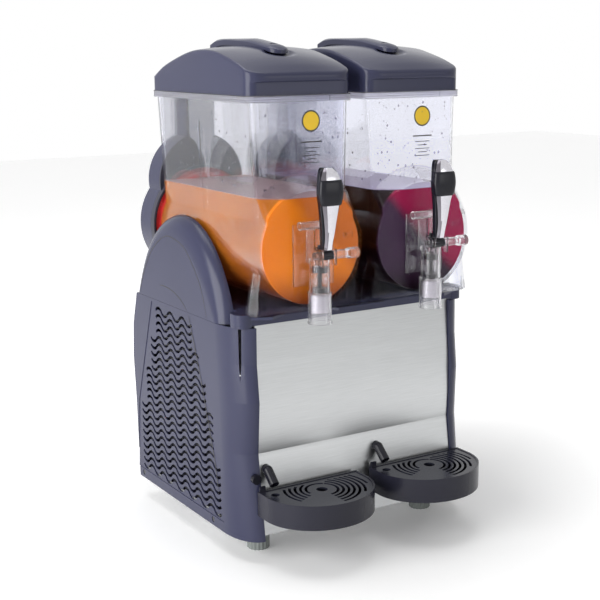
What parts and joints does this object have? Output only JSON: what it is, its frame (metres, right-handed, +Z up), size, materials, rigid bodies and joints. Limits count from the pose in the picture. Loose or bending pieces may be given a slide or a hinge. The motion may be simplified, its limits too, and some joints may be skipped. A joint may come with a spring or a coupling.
{
  "type": "slush machine",
  "caption": "Counter-top frozen drink machine with clear bowls over freezing drums, augers, lever taps, drip trays, lidded tops and a vented body.",
  "frame": {"origin": "on the counter, below the centre of the machine's whole box", "axes": "+X to the right as the person at the taps sees it, +Y from the taps to the back, +Z up"},
  "size_m": [0.4, 0.452, 0.7209],
  "materials": {
    "anthracite": "satin anthracite moulding",
    "black_plastic": "fine matt black moulding",
    "brushed_steel": "horizontally brushed sheet",
    "plain_steel": "plain bent sheet",
    "clear_bowl": "clear polycarbonate with a light surface haze",
    "clear_tap": "clear moulded polycarbonate",
    "white_plastic": "smooth white food-grade plastic",
    "red_rubber": "soft red silicone",
    "grey_rubber": "fluted grey rubber",
    "dark_tray": "satin dark moulding",
    "grid_plastic": "satin dark moulding with a slight sheen",
    "chrome": "polished plating",
    "aluminium_fins": "thin bare fins",
    "motor_enamel": "black enamel",
    "copper_pipe": "drawn copper tube"
  },
  "bodies": {
    "housing": {"chassis_frame": "plain_steel", "bulkhead": "plain_steel", "rear_panel": "anthracite", "top_deck": "anthracite", "front_panel": "brushed_steel", "feet": "grey_rubber", "panel_screws": "plain_steel", "cord_gland": "black_plastic", "drain_spouts": "black_plastic", "compressor": "motor_enamel", "condenser": "aluminium_fins", "fan_shroud": "plain_steel", "fan_motor": "motor_enamel", "control_box": "plain_steel", "refrigerant_pipes": "copper_pipe", "shaft_seals": "red_rubber", "lower_side_panel_left": "anthracite", "lower_side_panel_right": "anthracite", "upper_arch_left": "anthracite", "upper_arch_right": "anthracite", "motor_cover_left": "anthracite", "motor_cover_right": "anthracite", "evaporator_drum_left": "plain_steel", "evaporator_drum_right": "plain_steel", "gear_motor_left": "motor_enamel", "gear_motor_right": "motor_enamel", "bowl_gasket_left": "red_rubber", "bowl_gasket_right": "red_rubber"},
    "fan": {"fan_blade": "black_plastic"},
    "knob": {"column_knob": "black_plastic"},
    "bowl_unit_left": {"bowl_left": "clear_bowl", "tap_body_left": "clear_tap", "spout_sleeve_left": "clear_tap", "pivot_pin_left": "clear_tap"},
    "lid_unit_left": {"lid_left": "anthracite", "lid_handle_left": "anthracite"},
    "lever_left": {"tap_lever_left": "black_plastic", "lever_stem_left": "chrome", "lever_grip_left": "black_plastic"},
    "plunger_left": {"tap_plunger_left": "black_plastic"},
    "auger_unit_left": {"auger_left": "white_plastic", "drive_shaft_left": "plain_steel"},
    "tray_left": {"drip_tray_left": "dark_tray"},
    "grid_left": {"drip_grid_left": "grid_plastic"},
    "bowl_unit_right": {"bowl_right": "clear_bowl", "tap_body_right": "clear_tap", "spout_sleeve_right": "clear_tap", "pivot_pin_right": "clear_tap"},
    "lid_unit_right": {"lid_right": "anthracite", "lid_handle_right": "anthracite"},
    "lever_right": {"tap_lever_right": "black_plastic", "lever_stem_right": "chrome", "lever_grip_right": "black_plastic"},
    "plunger_right": {"tap_plunger_right": "black_plastic"},
    "auger_unit_right": {"auger_right": "white_plastic", "drive_shaft_right": "plain_steel"},
    "tray_right": {"drip_tray_right": "dark_tray"},
    "grid_right": {"drip_grid_right": "grid_plastic"}
  },
  "joints": [
    {"name": "fan_turn", "type": "hinge", "parent": "housing", "child": "fan", "pos_m": [0.135, 0.06, 0.152], "axis": [1, 0, 0], "continuous": true},
    {"name": "knob_turn", "type": "hinge", "parent": "housing", "child": "knob", "pos_m": [-0.176, -0.118, 0.123], "axis": [0, 1, 0], "range_deg": [-135, 135]},
    {"name": "bowl_slide_left", "type": "slide", "parent": "housing", "child": "bowl_unit_left", "axis": [0, -1, 0], "range_m": [0, 0.12]},
    {"name": "lid_lift_left", "type": "slide", "parent": "bowl_unit_left", "child": "lid_unit_left", "axis": [0, 0, 1], "range_m": [0, 0.08]},
    {"name": "lever_pull_left", "type": "hinge", "parent": "bowl_unit_left", "child": "lever_left", "pos_m": [-0.094, -0.173, 0.437], "axis": [1, 0, 0], "range_deg": [0, 40], "stiffness_Nm_per_rad": 0.6},
    {"name": "plunger_lift_left", "type": "slide", "parent": "bowl_unit_left", "child": "plunger_left", "axis": [0, 0, 1], "range_m": [0, 0.01]},
    {"name": "auger_turn_left", "type": "hinge", "parent": "housing", "child": "auger_unit_left", "pos_m": [-0.094, 0, 0.442], "axis": [0, 1, 0], "continuous": true},
    {"name": "tray_slide_left", "type": "slide", "parent": "housing", "child": "tray_left", "axis": [0, -1, 0], "range_m": [0, 0.06]},
    {"name": "grid_lift_left", "type": "slide", "parent": "tray_left", "child": "grid_left", "axis": [0, 0, 1], "range_m": [0, 0.005]},
    {"name": "bowl_slide_right", "type": "slide", "parent": "housing", "child": "bowl_unit_right", "axis": [0, -1, 0], "range_m": [0, 0.12]},
    {"name": "lid_lift_right", "type": "slide", "parent": "bowl_unit_right", "child": "lid_unit_right", "axis": [0, 0, 1], "range_m": [0, 0.08]},
    {"name": "lever_pull_right", "type": "hinge", "parent": "bowl_unit_right", "child": "lever_right", "pos_m": [0.094, -0.173, 0.437], "axis": [1, 0, 0], "range_deg": [0, 40], "stiffness_Nm_per_rad": 0.6},
    {"name": "plunger_lift_right", "type": "slide", "parent": "bowl_unit_right", "child": "plunger_right", "axis": [0, 0, 1], "range_m": [0, 0.01]},
    {"name": "auger_turn_right", "type": "hinge", "parent": "housing", "child": "auger_unit_right", "pos_m": [0.094, 0, 0.442], "axis": [0, 1, 0], "continuous": true},
    {"name": "tray_slide_right", "type": "slide", "parent": "housing", "child": "tray_right", "axis": [0, -1, 0], "range_m": [0, 0.06]},
    {"name": "grid_lift_right", "type": "slide", "parent": "tray_right", "child": "grid_right", "axis": [0, 0, 1], "range_m": [0, 0.005]}
  ],
  "couplings": [
    {"joint": "plunger_lift_left", "follows": "lever_pull_left", "m_per_rad": 0.01432},
    {"joint": "plunger_lift_right", "follows": "lever_pull_right", "m_per_rad": 0.01432}
  ]
}
